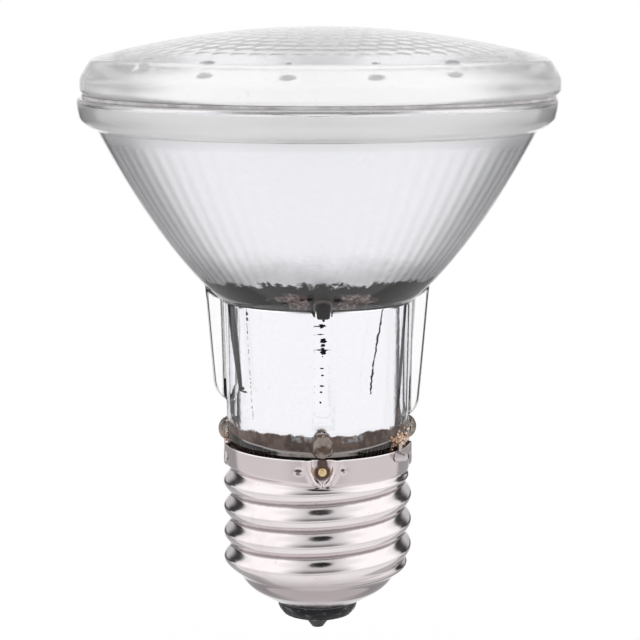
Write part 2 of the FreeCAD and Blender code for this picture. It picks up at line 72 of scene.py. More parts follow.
# Reflector
FOCAL = 7.65
VERTEX = 41.2
WALL = 2.4
THROAT = 49.3
BORE = 10.4
JOINT = 74.6
NECK_FOOT = 23.3
SKIRT = 12.04
NECK_BASE = 12.5
NECK_TOP = 13.1
NECK_TOP_HEIGHT = 46.8
RIB_HALF = 1.3
RIB_TOP = (15.5, 49.0)
RIB_BOTTOM = (14.2, 32.8)
RIB_FEET = [30.2, 32.8, 32.8, 32.8]
RIB_NOSE = 2.2  # by how much a rib's foot is rounded inwards
FOOT_CENTRE = (12.3, 28.75)
FOOT_BALL = 1.7
FOOT_WIDTH = 1.35
RIB_SPREAD = 0.125  # radians beside a rib that share its glass
RIB_CLEAR = (31.0, 49.6)  # heights between which they do
FRONT_SPREAD = 0.3
FLANGE_FOOT = 70.4
FLUTES = 72
FLUTE_DEPTH = 0.018
FLUTE_ENDS = ((THROAT, THROAT + 2.0), (68.0, 71.0))  # heights over which they rise and fade

# Lens
LENS_FOOT = 74.95
LENS_SHIFT = 0.4
LENS_CROWN = 83.98
DOME_BALL = 117.4
LENS_WALL = 2.7
LENS_DROP = 2.3
LENS_RECESS = 29.3
LENS_SIDE = (29.8, 79.9)  # least radius and greatest height of the frosted side
DOTS = 16
DOT_TURN = -98.5
DOT_RING = 26.65
DOT_HALF = (0.95, 0.42)  # round the ring and across it
DOT_RISE = 0.18
FACET_RING = 2.3
FACET_WIDTH = 2.6
FACET_DEPTH = 0.14
FACETS_END = (24.5, 26.0)


# Numbers

def smooth(value, low, high):
    """0 below low, 1 above high, and a smooth step between."""
    t = np.clip((value - low) / (high - low), 0.0, 1.0)
    return t * t * (3.0 - 2.0 * t)


def angle_from(theta, azimuth):
    """The signed angle from an azimuth in degrees to theta in radians, in radians."""
    return (theta - math.radians(azimuth) + math.pi) % TAU - math.pi


def rounded(corners, steps=5):
    """A polyline through (radius, height, rounding) corners with its roundings drawn out."""
    points = [np.array(corners[0][:2], float)]
    for before, corner, after in zip(corners, corners[1:], corners[2:]):
        here = np.array(corner[:2], float)
        back = np.array(before[:2], float) - here
        ahead = np.array(after[:2], float) - here
        reach = corner[2] if len(corner) > 2 else 0.0
        if reach <= 0.0:
            points.append(here)
            continue
        start = here + back / np.linalg.norm(back) * reach
        end = here + ahead / np.linalg.norm(ahead) * reach
        for step in range(steps + 1):
            t = step / steps
            points.append((1 - t) ** 2 * start + 2 * t * (1 - t) * here + t * t * end)
    points.append(np.array(corners[-1][:2], float))
    return np.array(points)


def spaced(points, step):
    """The same polyline with extra points, so that none is further than step from the next."""
    out = [points[0]]
    for a, b in zip(points, points[1:]):
        count = max(1, math.ceil(np.linalg.norm(b - a) / step))
        for index in range(1, count + 1):
            out.append(a + (b - a) * index / count)
    return np.array(out)


# Meshes

def add_piece(name, vertices, faces, materials, replaces=(), indices=None):
    """A smooth mesh in millimetres that rides on the lamp and stands for CAD nodes."""
    mesh = bpy.data.meshes.new(name)
    mesh.from_pydata([tuple(v) for v in np.asarray(vertices) * MM], [], faces)
    for material in materials:
        mesh.materials.append(material)
    if indices is not None:
        mesh.polygons.foreach_set("material_index", indices)
    mesh.polygons.foreach_set("use_smooth", [True] * len(mesh.polygons))
    work = bmesh.new()
    work.from_mesh(mesh)
    bmesh.ops.recalc_face_normals(work, faces=work.faces)
    work.to_mesh(mesh)
    work.free()
    piece = bpy.data.objects.new(name, mesh)
    bpy.context.scene.collection.objects.link(piece)
    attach(piece, "root")
    if replaces:
        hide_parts(*replaces)
    return piece


def plain(row, theta):
    """The radius of a row that is a circle."""
    return np.full(theta.shape, row[0])


def around(rows, columns, radius):
    """Points of a surface about the axis: radius(row radius, height, theta) for each row."""
    theta = np.arange(columns) * TAU / columns
    r = np.array([radius(row, theta) for row in rows])
    z = np.repeat(np.array([row[1] for row in rows])[:, None], columns, 1)
    return np.stack([r * np.cos(theta), r * np.sin(theta), z], -1)


def ring_faces(row_count, columns, closed):
    """Quads between rows of points that go round the axis."""
    faces = []
    last = row_count if closed else row_count - 1
    for i in range(last):
        k = (i + 1) % row_count
        for j in range(columns):
            n = (j + 1) % columns
            faces.append((i * columns + j, i * columns + n, k * columns + n, k * columns + j))
    return faces


def lathe_piece(name, outline, columns, material, replaces, radius):
    """A turned piece from a closed outline of (radius, height) points."""
    points = around(outline, columns, radius)
    faces = ring_faces(len(outline), columns, True)
    return add_piece(name, points.reshape(-1, 3), faces, [material], replaces)


# Materials

class Graph:
    """Short names for the nodes of one material or world."""

    def __init__(self, tree):
        self.tree = tree
        self.tree.nodes.clear()

    def add(self, kind, inputs=None, **settings):
        node = self.tree.nodes.new(kind)
        for key, value in settings.items():
            setattr(node, key, value)
        for key, value in (inputs or {}).items():
            self.put(node.inputs[key], value)
        return node

    def put(self, socket, value):
        if isinstance(value, bpy.types.NodeSocket):
            self.tree.links.new(value, socket)
        elif value is not None:
            socket.default_value = value

    def math(self, operation, a, b=None, clamp=False):
        node = self.add("ShaderNodeMath", operation=operation, use_clamp=clamp)
        self.put(node.inputs[0], a)
        if b is not None:
            self.put(node.inputs[1], b)
        return node.outputs[0]

    def times(self, a, b):
        return self.math("MULTIPLY", a, b)

    def plus(self, a, b):
        return self.math("ADD", a, b)

    def minus(self, a, b):
        return self.math("SUBTRACT", a, b)

    def most(self, a, b):
        return self.math("MAXIMUM", a, b)

    def step(self, value, low, high, start=0.0, end=1.0):
        node = self.add("ShaderNodeMapRange", interpolation_type="SMOOTHSTEP")
        for socket, item in zip(node.inputs, (value, low, high, start, end)):
            self.put(socket, item)
        return node.outputs[0]

    def rise(self, value, heights, start=0.0, end=1.0):
        """A smooth step between two heights in millimetres."""
        return self.step(value, heights[0] * MM, heights[1] * MM, start, end)

    def window(self, value, low, high, soft):
        """1 between low and high, and 0 outside."""
        rise = self.step(value, low - soft, low + soft)
        fall = self.step(value, high - soft, high + soft, 1.0, 0.0)
        return self.times(rise, fall)

    def between(self, value, heights, soft):
        """1 between two heights in millimetres, and 0 outside."""
        return self.window(value, heights[0] * MM, heights[1] * MM, soft * MM)

    def noise(self, vector, scale, detail=3.0, roughness=0.5, distortion=0.0):
        node = self.add("ShaderNodeTexNoise", {
            "Vector": vector, "Scale": scale, "Detail": detail,
            "Roughness": roughness, "Distortion": distortion,
        })
        return node.outputs["Fac"]

    def stretch(self, vector, scale):
        node = self.add("ShaderNodeMapping", {"Vector": vector, "Scale": scale})
        return node.outputs["Vector"]

    def wrap(self, value, half):
        """The value brought into -half to half by whole turns of twice half."""
        node = self.add("ShaderNodeMath", operation="WRAP")
        for socket, item in zip(node.inputs, (value, half, -half)):
            self.put(socket, item)
        return node.outputs[0]

    def shifted(self, value, noise, reach):
        """The value moved by a noise that reaches so many millimetres."""
        return self.plus(value, self.times(noise, reach * MM))

    def beside(self, azimuth, at):
        """How far an azimuth in radians lies from another in degrees."""
        return self.math("ABSOLUTE", self.minus(azimuth, math.radians(at)))

    def spot(self, across, along, half_width, half_height):
        """Squared distance from the middle of a spot, 1 on its edge."""
        across = self.math("DIVIDE", across, half_width)
        along = self.math("DIVIDE", along, half_height)
        return self.plus(self.times(across, across), self.times(along, along))

    def mix(self, factor, a, b):
        node = self.add("ShaderNodeMix", data_type="RGBA")
        self.put(node.inputs["Factor"], factor)
        self.put(node.inputs["A"], a)
        self.put(node.inputs["B"], b)
        return node.outputs["Result"]

    def bump(self, height, strength, distance):
        values = {"Height": height, "Strength": strength, "Distance": distance}
        return self.add("ShaderNodeBump", values).outputs["Normal"]

    def position(self):
        """Position on the part, in metres."""
        return self.add("ShaderNodeTexCoord").outputs["Object"]

    def place(self):
        """Position on the part, in metres, and its x, y and z."""
        position = self.position()
        parts = self.add("ShaderNodeSeparateXYZ", {"Vector": position}).outputs
        return position, parts[0], parts[1], parts[2]

    def surface(self, **inputs):
        shader = self.add("ShaderNodeBsdfPrincipled")
        for key, value in inputs.items():
            self.put(shader.inputs[key.replace("_", " ")], value)
        self.show("ShaderNodeOutputMaterial", shader)

    def show(self, kind, shader):
        """Link a shader to the output of a material or of the world."""
        self.tree.links.new(shader.outputs[0], self.add(kind).inputs["Surface"])


def new_material(name):
    material = bpy.data.materials.new(name)
    material.use_nodes = True
    return material, Graph(material.node_tree)


def colour(red, green, blue):
    return (red, green, blue, 1.0)


def clear_glass(name, tint, roughness, wave_strength, index=1.5, clear=1.0):
    """Pressed glass with a faint waviness and fine specks of dust."""
    material, g = new_material(name)
    position = g.position()
    wave = g.noise(position, 90.0, 2.0)
    grain = g.noise(position, 2600.0, 2.0)
    speck = g.step(g.noise(position, 1400.0, 1.0), 0.70, 0.76)
    g.surface(
        Base_Color=g.mix(speck, tint, g.mix(0.12, tint, colour(0.5, 0.45, 0.42))),
        Roughness=g.step(grain, 0.3, 0.8, roughness, roughness + 0.05),
        IOR=index,
        Transmission_Weight=clear,
        Normal=g.bump(wave, wave_strength, 0.4 * MM),
    )
    return material


def stained_glass():
    """The feet: glass with brown residue melted over it."""
    material, g = new_material("stained_glass")
    position = g.position()
    patch = g.noise(position, 520.0, 4.0, 0.6)
    thick = g.step(patch, 0.42, 0.60)
    tint = g.mix(thick, colour(0.80, 0.72, 0.64), colour(0.22, 0.14, 0.10))
    g.surface(
        Base_Color=tint,
        Roughness=g.step(patch, 0.3, 0.7, 0.06, 0.35),
        IOR=1.4,
        Transmission_Weight=0.75,
        Normal=g.bump(patch, 0.5, 0.4 * MM),
    )
    return material


# Black spots on the film, the ones near the front at about -86 degrees a painted reflection of
# the camera and the rest bare or stained: azimuth, height, half width, half height, in mm and
# degrees
FILM_SPOTS = [
    (-86.0, 46.25, 0.85, 0.10), (-85.9, 45.95, 0.42, 0.32), (-85.6, 45.6, 0.15, 0.25),
    (-86.5, 44.8, 0.34, 0.26), (-87.1, 44.7, 0.60, 0.08), (-86.8, 43.6, 0.45, 0.10),
    (-85.8, 42.7, 0.36, 0.42), (-86.0, 42.1, 0.27, 0.5), (-86.0, 41.5, 0.62, 0.10),
    (-85.6, 41.2, 0.32, 0.30), (-86.2, 40.6, 0.12, 0.12), (-86.7, 39.0, 0.28, 0.11),
    (-86.2, 38.1, 0.20, 0.15), (-86.7, 36.6, 0.24, 0.11), (-87.2, 35.8, 0.17, 0.13),
    (-87.6, 34.35, 0.12, 0.14), (-145.0, 45.9, 0.22, 0.25), (-144.6, 45.1, 0.22, 0.22),
    (-148.8, 35.0, 0.60, 0.13), (-150.8, 35.4, 0.35, 0.3), (-44.0, 29.9, 0.45, 0.09),
]
DARK_REFLECTION_STREAKS = [  # painted reflections of the studio's unlit sides, as tapered dark bands: two ends as azimuth, height and half width in radians
    ((-166.5, 47.4, 0.085), (-161.0, 42.0, 0.075)),
    ((-161.0, 42.0, 0.075), (-153.2, 34.9, 0.030)),
    ((-11.8, 47.2, 0.034), (-23.0, 30.0, 0.032)),
]
CRACK_BENDS = [  # azimuth and height of a dark line that runs down the film
    (-40.6, 46.9), (-42.2, 45.6), (-42.9, 44.3), (-45.0, 42.8), (-46.2, 41.4),
    (-48.2, 39.9), (-48.9, 38.6), (-50.3, 37.0), (-50.6, 35.2),
]
CRACK_HALF = 0.010  # half widths of the lines, in radians
SCRATCH_BENDS = [  # a second, broken line on the other side
    (-146.0, 46.9), (-144.6, 43.0), (-143.0, 39.0), (-141.6, 35.0), (-139.9, 31.4),
]
SCRATCH_HALF = 0.004

# Heights in mm between which the film changes, each from the start of a change to its end
BARE_FOOT = (29.7, 30.0)
BARE_THROAT = ((47.55, 47.7), (51.4, 51.8))
THROAT_SAG = (1.6, 0.05, 0.20)  # by how much it hangs lower at the front rib, and how far aside
FLANGE_LINE = (71.08, 71.28)
FLANGE_DASH = (-100.0, -80.0)  # azimuths where that line is darkest
# a grey painted reflection of the lamp's own neck and cap, just above the throat
NECK_REFLECTION_HEIGHTS = ((49.0, 50.0), (52.0, 56.5))
SATIN_BOWL = (49.0, 53.0)
SATIN_FLANGE = (69.0, 71.0)
WHITE_FLANGE = (69.8, 71.2)

# Residue on the bare parts, in the same way, and the painted shade and painted highlight along
# the cap's rim
PALE_PATCHES = [-102.0, -70.0]  # azimuths of paler residue in the throat
PATCH_HEIGHTS = (48.4, 50.3)
FOOT_RESIDUE = (31.8, 32.8)
PALE_FOOT = (28.8, 29.1)
PALE_FOOT_ARCS = [(-99.0, 0.20), (-65.0, 0.16)]  # azimuth, and half width in radians
BOW_WIDTH = 0.95  # radians from the front at which the lower edge has risen by BOW_RISE
BOW_RISE = 0.5
# painted shade behind the cap's rim, and a painted highlight in an arc along it
SHADED_RIM = (27.4, 27.6)
BRIGHT_ARC = (27.45, 27.65)
ARC_ENDS = (-152.0, -25.0)

FILM_BRIGHT = colour(0.95, 0.95, 0.975)
FILM_PLAIN = colour(0.93, 0.93, 0.965)
# grey of the painted reflection of the neck and cap
NECK_REFLECTION_GREY = colour(0.50, 0.49, 0.51)
FILM_FLANGE = colour(0.99, 0.985, 0.99)
# black of the flaws and of the painted reflections in the neck
MARK_BLACK = colour(0.012, 0.013, 0.014)
THROAT_BLACK = colour(0.012, 0.008, 0.007)
THROAT_DARK = colour(0.10, 0.06, 0.055)
THROAT_PALE = colour(0.42, 0.33, 0.32)
# painted shade behind the cap's rim
RIM_SHADE_BLACK = colour(0.012, 0.007, 0.005)
FOOT_DARK = colour(0.10, 0.055, 0.040)
FOOT_BROWN = colour(0.24, 0.155, 0.125)
FOOT_SPECKS = colour(0.42, 0.33, 0.28)
FOOT_GREY = colour(0.5, 0.5, 0.52)
# painted highlight in an arc along the cap's rim
ARC_HIGHLIGHT = colour(0.85, 0.78, 0.74)


def film_spots(g, azimuth, height, wobble):
    """How much of a spot there is at a place: 0 for none, 1 in the middle of one; the spots at
    the front are a painted reflection of the camera.
    """
    total = 0.0
    for at, level, half_width, half_height in FILM_SPOTS:
        across = g.times(g.minus(azimuth, math.radians(at)), BORE * MM)
        along = g.minus(height, level * MM)
        away = g.spot(across, along, half_width * MM, half_height * MM)
        spot = g.step(g.plus(away, wobble), 0.75, 1.1, 1.0, 0.0)
        total = g.most(total, spot)
    return total


def film_line(g, start, end, azimuth, height, wobble):
    """A line down the film between two places, each an azimuth, a height and a half width."""
    share = g.math("DIVIDE", g.minus(height, end[1] * MM), (start[1] - end[1]) * MM)
    middle = g.times(share, math.radians(start[0] - end[0]))
    middle = g.plus(middle, math.radians(end[0]))
    half = g.plus(g.times(share, start[2] - end[2]), end[2])
    away = g.math("ABSOLUTE", g.minus(g.minus(azimuth, middle), wobble))
    line = g.step(g.math("DIVIDE", away, half), 1.0, 1.6, 1.0, 0.0)
    inside = g.between(height, (end[1], start[1]), 0.02)
    return g.times(line, inside)


def film_crack(g, bends, azimuth, height, wobble, half_width):
    """A thin jagged line through the bends."""
    total = 0.0
    for start, end in zip(bends, bends[1:]):
        line = film_line(g, (*start, half_width), (*end, half_width), azimuth, height, wobble)
        total = g.most(total, line)
    return total


def film_marks(g, position, azimuth, z, coarse, rough):
    """Spots, cracks and dark bands on the film in the neck, and the line below the flange; the
    dark bands and the spots at the front are painted reflections.
    """
    streaks = g.noise(g.stretch(position, (1.0, 1.0, 3.5)), 900.0, 3.0, 0.7)
    wobble = g.times(g.minus(streaks, 0.5), 6.0)
    jag = g.times(rough, 0.07)
    scratch = film_crack(g, SCRATCH_BENDS, azimuth, z, jag, SCRATCH_HALF)
    scratch = g.times(scratch, g.step(streaks, 0.48, 0.52))
    marks = g.most(film_spots(g, azimuth, z, wobble), scratch)
    marks = g.most(marks, film_crack(g, CRACK_BENDS, azimuth, z, jag, CRACK_HALF))
    # painted reflections of the studio's unlit sides, as dark bands on the film
    for start, end in DARK_REFLECTION_STREAKS:
        band = film_line(g, start, end, azimuth, z, g.times(rough, 0.03))
        marks = g.most(marks, band)
    line = g.between(g.shifted(z, coarse, 0.2), FLANGE_LINE, 0.05)
    dash = g.window(azimuth, *map(math.radians, FLANGE_DASH), 0.06)
    line = g.times(line, g.step(dash, 0.0, 1.0, 0.3, 1.0))
    return g.most(marks, line)


def bare_bands(g, azimuth, z, low, high, coarse):
    """Where the film is missing at the throat and at the foot of the neck."""
    foot = g.rise(low, BARE_FOOT, 1.0, 0.0)
    sag, narrow, wide = THROAT_SAG
    side = g.beside(azimuth, FRONT_LUG)
    under = g.plus(g.shifted(z, coarse, 0.5), g.step(side, narrow, wide, sag * MM, 0.0))
    throat = g.rise(under, BARE_THROAT[0])
    throat = g.times(throat, g.rise(high, BARE_THROAT[1], 1.0, 0.0))
    return g.most(foot, throat)


def throat_residue(g, position, azimuth, low, coarse, fine):
    """Black, with speckled paler patches."""
    patches = g.step(g.noise(position, 230.0, 2.0), 0.60, 0.68)
    for at in PALE_PATCHES:
        side = g.plus(g.beside(azimuth, at), g.times(coarse, 0.10))
        patches = g.most(patches, g.step(side, 0.10, 0.13, 1.0, 0.0))
    patches = g.times(patches, g.between(low, PATCH_HEIGHTS, 0.2))
    speckled = g.mix(g.step(fine, 0.40, 0.62), THROAT_DARK, THROAT_PALE)
    return g.mix(patches, THROAT_BLACK, speckled)


def foot_band(g, azimuth, z, low, coarse, fine):
    """Brown and speckled residue, with painted shade behind the cap's rim and a painted highlight
    in an arc along it.
    """
    foot_colour = g.mix(g.step(coarse, -0.12, 0.12), FOOT_DARK, FOOT_BROWN)
    foot_colour = g.mix(g.step(fine, 0.52, 0.70, 0.0, 0.35), foot_colour, FOOT_SPECKS)
    pale = 0.0
    for at, half in PALE_FOOT_ARCS:
        side = g.beside(azimuth, at)
        pale = g.most(pale, g.step(side, half * 0.7, half, 1.0, 0.0))
    pale = g.times(pale, g.rise(low, PALE_FOOT))
    foot_colour = g.mix(g.times(pale, g.step(fine, 0.42, 0.55)), foot_colour, FOOT_GREY)
    side = g.math("DIVIDE", g.plus(azimuth, math.pi / 2.0), BOW_WIDTH)
    bow = g.times(g.times(side, side), BOW_RISE * MM)
    bow = g.shifted(g.minus(z, bow), coarse, 0.3)
    # painted shade behind the cap's rim
    foot_colour = g.mix(g.rise(bow, SHADED_RIM), RIM_SHADE_BLACK, foot_colour)
    # a painted highlight in an arc along the rim
    ends = g.window(azimuth, *map(math.radians, ARC_ENDS), 0.05)
    arc = g.times(g.between(bow, BRIGHT_ARC, 0.05), ends)
    return g.mix(arc, foot_colour, ARC_HIGHLIGHT)


def silver_film():
    """The aluminised inside of the reflector, with its bare bands, stains and flaws, painted
    reflections in the neck and above the throat, and painted shade and a painted highlight along
    the cap's rim.
    """
    material, g = new_material("silver_film")
    position, x, y, z = g.place()
    azimuth = g.math("ARCTAN2", y, x)
    coarse = g.minus(g.noise(position, 380.0, 4.0, 0.65), 0.5)
    broad = g.minus(g.noise(position, 150.0, 1.0), 0.5)
    fine = g.noise(position, 1500.0, 3.0, 0.6)
    rough = g.minus(fine, 0.5)
    low = g.shifted(z, coarse, 1.6)
    high = g.shifted(g.shifted(g.shifted(z, coarse, 2.4), rough, 1.6), broad, 2.4)

    marks = film_marks(g, position, azimuth, z, coarse, rough)
    # the bare bands together with the flaws and the painted reflections
    bare_and_marked = g.most(bare_bands(g, azimuth, z, low, high, coarse), marks)
    dark = g.mix(marks, throat_residue(g, position, azimuth, low, coarse, fine), MARK_BLACK)
    brown = g.rise(z, FOOT_RESIDUE, 1.0, 0.0)
    dark = g.mix(brown, dark, foot_band(g, azimuth, z, low, coarse, fine))

    gloss = g.plus(g.rise(z, SATIN_BOWL, 0.03, 0.24), g.rise(z, SATIN_FLANGE, 0.0, 0.16))
    silver = g.mix(g.step(fine, 0.35, 0.75), FILM_PLAIN, FILM_BRIGHT)
    # a grey painted reflection of the lamp's own neck and cap, just above the throat
    neck_reflection = g.rise(high, NECK_REFLECTION_HEIGHTS[1], 1.0, 0.0)
    neck_reflection = g.times(neck_reflection, g.rise(z, NECK_REFLECTION_HEIGHTS[0]))
    silver = g.mix(g.times(neck_reflection, 0.75), silver, NECK_REFLECTION_GREY)
    silver = g.mix(g.rise(z, WHITE_FLANGE), silver, FILM_FLANGE)
    g.surface(
        Base_Color=g.mix(bare_and_marked, silver, dark),
        Metallic=g.step(bare_and_marked, 0.0, 1.0, 1.0, 0.0),
        Roughness=g.most(g.times(bare_and_marked, 0.5), gloss),
        Specular_IOR_Level=0.1,
        Normal=g.bump(fine, 0.05, 0.2 * MM),
    )
    return material


def metal(name, tint, worn, roughness, scale=500.0, strength=0.08):
    """Bright metal with fine drawn lines, faint stains and small pits."""
    material, g = new_material(name)
    position = g.position()
    lines = g.noise(g.stretch(position, (1.0, 1.0, 6.0)), scale, 3.0)
    stain = g.step(g.noise(position, 160.0, 4.0, 0.6), 0.48, 0.75)
    pits = g.step(g.noise(position, 2400.0, 2.0), 0.70, 0.80)
    g.surface(
        Base_Color=g.mix(stain, tint, worn),
        Metallic=1.0,
        Roughness=g.step(lines, 0.3, 0.8, roughness, roughness + 0.10),
        Normal=g.bump(g.minus(lines, pits), strength, 0.2 * MM),
    )
    return material


POCKET_STAINS_AND_DENT_REFLECTIONS = [  # sideways and height of the middle, half width and half height; the third and fourth stand in the dents beside each pocket and are painted reflections, the others brown residue
    (0.0, 25.2, 1.15, 1.2), (0.0, 26.3, 0.75, 0.9), (-3.35, 25.45, 0.5, 0.22),
    (2.8, 25.5, 0.28, 0.22), (-0.75, 23.1, 0.30, 0.13), (0.72, 23.15, 0.30, 0.13),
]
SHEET = colour(0.79, 0.735, 0.745)
SHEET_STAIN = colour(0.70, 0.64, 0.65)
SHEET_TONES_AND_EDGE_HIGHLIGHT = [  # tints of the collar and the cone, a painted highlight on the cut edge of the rim, and the heights of the change
    (colour(0.68, 0.605, 0.62), (22.6, 23.8), (0.0, 1.0)),
    (colour(0.42, 0.37, 0.38), (8.5, 11.0), (1.0, 0.0)),
    # painted highlight on the cut edge of the rim
    (colour(0.95, 0.91, 0.91), (26.76, 26.84), (0.0, 1.0)),
]
# painted shade in the root of the thread
GROOVE_SHADE = colour(0.30, 0.25, 0.25)
GROOVE_ENDS = (10.5, 22.2)
PIT = colour(0.34, 0.28, 0.27)
# colours of the residue and of the painted reflections in the dents
STAIN_AND_REFLECTION_BLACK = colour(0.03, 0.016, 0.014)
STAIN_AND_REFLECTION_BROWN = colour(0.15, 0.09, 0.075)


def pocket_stains_and_reflections(g, x, y, z, edge):
    """Brown residue round the pins of the crimp pockets, and dark painted reflections in the
    dents beside them.
    """
    turn = g.minus(g.math("ARCTAN2", y, x), math.radians(LUG_AZIMUTHS[0]))
    across = g.times(g.wrap(turn, math.pi / 4.0), CAP_RIM * MM)
    ragged = g.times(g.minus(edge, 0.5), 0.7)
    total = 0.0
    for side, height, half_width, half_height in POCKET_STAINS_AND_DENT_REFLECTIONS:
        away = g.spot(
            g.minus(across, side * MM), g.minus(z, height * MM),
            half_width * MM, half_height * MM,
        )
        stained = g.step(g.plus(away, ragged), 0.7, 1.3, 1.0, 0.0)
        total = g.most(total, stained)
    return total


def thread_groove(g, x, y, z, edge):
    """1 in the root of the thread, which climbs by a pitch in each turn; painted shade goes
    there.
    """
    turned = g.wrap(g.plus(g.math("ARCTAN2", y, x), math.pi / 2.0), math.pi)
    crest = g.plus(g.times(turned, PITCH * MM / TAU), CREST_FRONT * MM)
    root = g.minus(g.minus(z, crest), PITCH * MM / 2.0)
    root = g.shifted(g.wrap(root, PITCH * MM / 2.0), edge, -0.2)
    groove = g.between(root, (-0.2, 0.35), 0.14)
    return g.times(groove, g.between(z, GROOVE_ENDS, 0.6))


def nickel():
    """Nickelled sheet: bright, faintly pink, with brown residue round the pins, painted
    reflections in the dents beside them, painted shade in the thread's root and a painted
    highlight on the rim's cut edge.
    """
    material, g = new_material("nickel")
    position, x, y, z = g.place()
    lines = g.noise(g.stretch(position, (1.0, 1.0, 6.0)), 500.0, 3.0)
    stain = g.step(g.noise(position, 160.0, 4.0, 0.6), 0.48, 0.75)
    pits = g.step(g.noise(position, 2200.0, 2.0), 0.72, 0.80)
    edge = g.noise(position, 1300.0, 3.0)
    # brown residue round the pins, and painted reflections in the dents beside them
    ring = pocket_stains_and_reflections(g, x, y, z, edge)
    sheet = g.mix(stain, SHEET, SHEET_STAIN)
    # the collar's and the cone's tints, and a painted highlight on the rim's cut edge
    for tint, heights, ends in SHEET_TONES_AND_EDGE_HIGHLIGHT:
        sheet = g.mix(g.rise(z, heights, *ends), sheet, tint)
    # painted shade in the root of the thread
    groove = g.times(thread_groove(g, x, y, z, edge), 0.8)
    sheet = g.mix(pits, g.mix(groove, sheet, GROOVE_SHADE), PIT)
    worn = g.step(lines, 0.3, 0.8, 0.09, 0.17)
    g.surface(
        Base_Color=g.mix(ring, sheet, g.mix(edge, STAIN_AND_REFLECTION_BLACK, STAIN_AND_REFLECTION_BROWN)),
        Metallic=g.step(ring, 0.0, 1.0, 1.0, 0.3),
        Roughness=g.plus(worn, g.times(ring, 0.25)),
        Normal=g.bump(g.minus(lines, pits), 0.03, 0.2 * MM),
    )
    return material


def mineral(name, light, dark, scale, roughness, strength):
    """Cement, ceramic or residue: grainy and blotched."""
    material, g = new_material(name)
    position = g.position()
    blotch = g.noise(position, scale, 5.0, 0.65)
    grain = g.noise(position, scale * 6.0, 3.0, 0.6)
    g.surface(
        Base_Color=g.mix(g.step(blotch, 0.35, 0.65), dark, light),
        Roughness=g.step(grain, 0.3, 0.7, roughness, min(roughness + 0.25, 1.0)),
        Normal=g.bump(grain, strength, 0.4 * MM),
    )
    return material


def black_glass():
    """The insulator: glossy, smeared, and greyer along the cap's opening."""
    material, g = new_material("black_glass")
    position, _, _, z = g.place()
    swirl = g.noise(position, 420.0, 3.0, 0.55, 0.6)
    smear = g.step(g.noise(g.stretch(position, (1.0, 1.0, 3.0)), 700.0, 4.0), 0.55, 0.72)
    grey = g.most(smear, g.between(z, (4.05, 4.28), 0.08))
    g.surface(
        Base_Color=g.mix(grey, colour(0.006, 0.006, 0.008), colour(0.10, 0.10, 0.105)),
        Roughness=g.step(swirl, 0.3, 0.7, 0.08, 0.25),
        Specular_IOR_Level=0.2,
        Normal=g.bump(swirl, 0.2, 0.4 * MM),
    )
    return material


LENS_GLASS = clear_glass("lens_glass", colour(0.99, 0.99, 0.995), 0.08, 0.05, 1.5, 0.92)
DOT_GLASS = clear_glass("frosted_dots", colour(0.22, 0.21, 0.23), 0.35, 0.2, 1.45, 0.25)
SIDE_GLASS = clear_glass("lens_side_glass", colour(0.985, 0.975, 0.98), 0.12, 0.05, 1.4, 0.64)
BOWL_GLASS = clear_glass("bowl_glass", colour(0.985, 0.985, 0.99), 0.0, 0.06)
FLANGE_GLASS = clear_glass("flange_glass", colour(0.985, 0.98, 0.985), 0.0, 0.06, 1.5, 0.84)
RIB_GLASS = clear_glass("rib_glass", colour(0.985, 0.985, 0.99), 0.0, 0.05, 1.26)
FRONT_GLASS = clear_glass("front_rib_glass", colour(0.99, 0.99, 0.995), 0.0, 0.02, 1.03)
FOOT_GLASS = stained_glass()
QUARTZ = clear_glass("quartz", colour(0.99, 0.99, 1.0), 0.0, 0.03)
FILM = silver_film()
NICKEL = nickel()
BRASS = metal("brass", colour(0.80, 0.60, 0.34), colour(0.42, 0.27, 0.15), 0.2, 900.0, 0.3)
# the contact and its solder are nearly black: tarnish, and painted shade beneath the insulator
CONTACT = metal("contact_brass", colour(0.10, 0.085, 0.07), colour(0.04, 0.035, 0.03), 0.30)
TARNISH_AND_SHADE = metal(
    "tarnished_shaded_solder", colour(0.06, 0.06, 0.065), colour(0.02, 0.02, 0.02), 0.3, 700.0, 0.4
)
SOLDER = metal("solder", colour(0.66, 0.60, 0.61), colour(0.45, 0.40, 0.40), 0.30, 700.0, 0.3)
WIRE = metal("wire", colour(0.62, 0.55, 0.48), colour(0.35, 0.29, 0.25), 0.3)
TUNGSTEN = metal("tungsten", colour(0.36, 0.35, 0.34), colour(0.2, 0.2, 0.2), 0.35)
SEAL = mineral("seal", colour(0.62, 0.60, 0.60), colour(0.38, 0.36, 0.36), 300.0, 0.4, 0.3)
CEMENT = mineral(
    "white_cement", colour(0.80, 0.77, 0.72), colour(0.55, 0.52, 0.48), 300.0, 0.8, 0.5
)
BROWN = mineral(
    "brown_cement", colour(0.15, 0.085, 0.06), colour(0.03, 0.018, 0.014), 420.0, 0.55, 0.8
)
CRUMB = mineral("crumbs", colour(0.93, 0.80, 0.68), colour(0.62, 0.28, 0.13), 700.0, 0.6, 0.8)
CERAMIC = mineral(
    "ceramic", colour(0.84, 0.83, 0.80), colour(0.70, 0.69, 0.66), 400.0, 0.4, 0.1
)
BLACK = black_glass()

